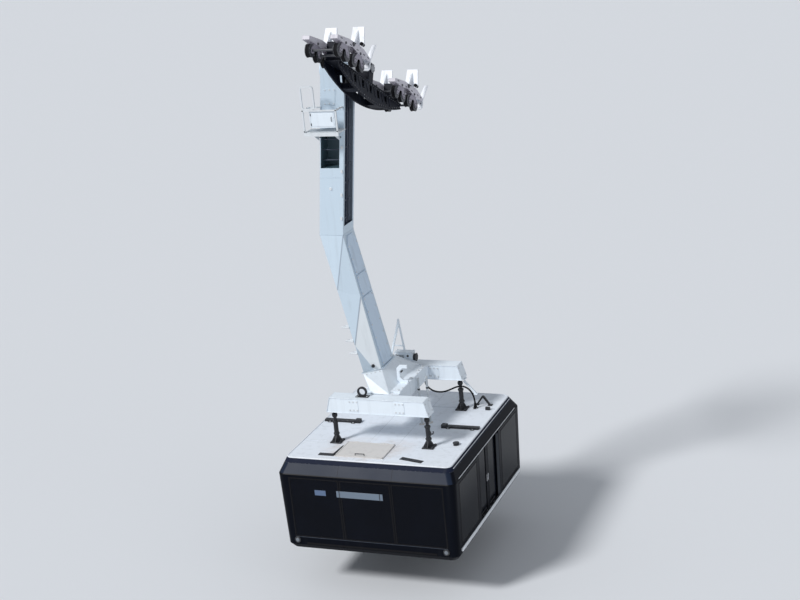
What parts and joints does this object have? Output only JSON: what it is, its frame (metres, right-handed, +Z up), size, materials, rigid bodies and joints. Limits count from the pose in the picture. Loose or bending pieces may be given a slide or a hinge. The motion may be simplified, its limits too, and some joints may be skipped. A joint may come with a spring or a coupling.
{
  "type": "aerial tramway car",
  "caption": "Aerial tramway car: wheeled rope carriage, bent one-sided hanger, roof crossbeams on struts and a wide glazed cabin with sliding doors.",
  "frame": {"origin": "midway between the axes of the two track ropes at the middle of the carriage, in the ropes' plane", "axes": "+Z up, +X across the line, +Y along the line and downhill; the ropes fall 26.5 degrees towards +Y"},
  "size_m": [4.72, 5.4027, 12.9048],
  "materials": {
    "aluminium_trim": "satin",
    "bare_steel": "satin",
    "black_body": "gloss",
    "black_paint": "satin",
    "black_rubber": "matte",
    "dark_glass": "gloss",
    "dark_paint": "satin",
    "desk_plastic": "matte",
    "galvanized": "satin",
    "grey_paint": "satin",
    "hanger_paint": "satin",
    "lamp_plastic": "gloss",
    "roof_paint": "matte",
    "wheel_steel": "satin",
    "white_paint": "satin"
  },
  "bodies": {
    "carriage": {"equalizer_beams": "white_paint", "haul_rope_clamps": "dark_paint", "main_beam": "dark_paint", "pivot_shaft": "bare_steel", "wheel_rockers": "dark_paint"},
    "wheelset_01": {"wheelset_01": "wheel_steel"},
    "wheelset_02": {"wheelset_02": "wheel_steel"},
    "wheelset_03": {"wheelset_03": "wheel_steel"},
    "wheelset_04": {"wheelset_04": "wheel_steel"},
    "wheelset_05": {"wheelset_05": "wheel_steel"},
    "wheelset_06": {"wheelset_06": "wheel_steel"},
    "wheelset_07": {"wheelset_07": "wheel_steel"},
    "wheelset_08": {"wheelset_08": "wheel_steel"},
    "hanger_and_cabin": {"cabin_floor": "black_body", "cabin_roof": "roof_paint", "cable_gland": "black_rubber", "carrying_frame": "white_paint", "control_desk": "desk_plastic", "crossbeams": "white_paint", "door_tracks": "aluminium_trim", "end_lamps": "lamp_plastic", "end_wall_downhill": "black_body", "end_wall_uphill": "black_body", "end_windows": "dark_glass", "grab_poles": "aluminium_trim", "hanger_arm": "hanger_paint", "hanger_ladder": "galvanized", "hanger_mast": "hanger_paint", "lifting_eye": "black_paint", "platform_cabinet": "white_paint", "platform_railing": "galvanized", "roof_bars": "black_paint", "roof_cable": "black_rubber", "roof_hatch": "roof_paint", "roof_posts": "grey_paint", "roof_trestle": "galvanized", "service_platform": "galvanized", "side_wall_left": "black_body", "side_wall_right": "black_body", "side_windows": "dark_glass", "signal_frame": "white_paint", "sill_strips": "aluminium_trim", "support_struts": "black_paint", "winch_housing": "grey_paint"},
    "door_left_uphill": {"door_left_uphill": "black_body", "door_glass_left_uphill": "dark_glass"},
    "door_left_downhill": {"door_left_downhill": "black_body", "door_glass_left_downhill": "dark_glass"},
    "door_right_uphill": {"door_right_uphill": "black_body", "door_glass_right_uphill": "dark_glass"},
    "door_right_downhill": {"door_right_downhill": "black_body", "door_glass_right_downhill": "dark_glass"}
  },
  "joints": [
    {"name": "wheelset_01_spin", "type": "hinge", "parent": "carriage", "child": "wheelset_01", "pos_m": [0, -2.08812, 1.2467], "axis": [1, 0, 0], "continuous": true},
    {"name": "wheelset_02_spin", "type": "hinge", "parent": "carriage", "child": "wheelset_02", "pos_m": [0, -1.70329, 1.05483], "axis": [1, 0, 0], "continuous": true},
    {"name": "wheelset_03_spin", "type": "hinge", "parent": "carriage", "child": "wheelset_03", "pos_m": [0, -1.31847, 0.86297], "axis": [1, 0, 0], "continuous": true},
    {"name": "wheelset_04_spin", "type": "hinge", "parent": "carriage", "child": "wheelset_04", "pos_m": [0, -0.93365, 0.6711], "axis": [1, 0, 0], "continuous": true},
    {"name": "wheelset_05_spin", "type": "hinge", "parent": "carriage", "child": "wheelset_05", "pos_m": [0, 1.09785, -0.34177], "axis": [1, 0, 0], "continuous": true},
    {"name": "wheelset_06_spin", "type": "hinge", "parent": "carriage", "child": "wheelset_06", "pos_m": [0, 1.48267, -0.53363], "axis": [1, 0, 0], "continuous": true},
    {"name": "wheelset_07_spin", "type": "hinge", "parent": "carriage", "child": "wheelset_07", "pos_m": [0, 1.86749, -0.7255], "axis": [1, 0, 0], "continuous": true},
    {"name": "wheelset_08_spin", "type": "hinge", "parent": "carriage", "child": "wheelset_08", "pos_m": [0, 2.25232, -0.91736], "axis": [1, 0, 0], "continuous": true},
    {"name": "hanger_pivot", "type": "hinge", "parent": "carriage", "child": "hanger_and_cabin", "pos_m": [0, 0.20079, 0.40272], "axis": [1, 0, 0], "range_deg": [-26, 22]},
    {"name": "door_left_uphill_slide", "type": "slide", "parent": "hanger_and_cabin", "child": "door_left_uphill", "axis": [0, -1, 0], "range_m": [0, 0.78]},
    {"name": "door_left_downhill_slide", "type": "slide", "parent": "hanger_and_cabin", "child": "door_left_downhill", "axis": [0, 1, 0], "range_m": [0, 0.78]},
    {"name": "door_right_uphill_slide", "type": "slide", "parent": "hanger_and_cabin", "child": "door_right_uphill", "axis": [0, -1, 0], "range_m": [0, 0.78]},
    {"name": "door_right_downhill_slide", "type": "slide", "parent": "hanger_and_cabin", "child": "door_right_downhill", "axis": [0, 1, 0], "range_m": [0, 0.78]}
  ],
  "couplings": [
    {"joint": "door_left_downhill_slide", "follows": "door_left_uphill_slide", "ratio": 1},
    {"joint": "door_right_downhill_slide", "follows": "door_right_uphill_slide", "ratio": 1}
  ]
}
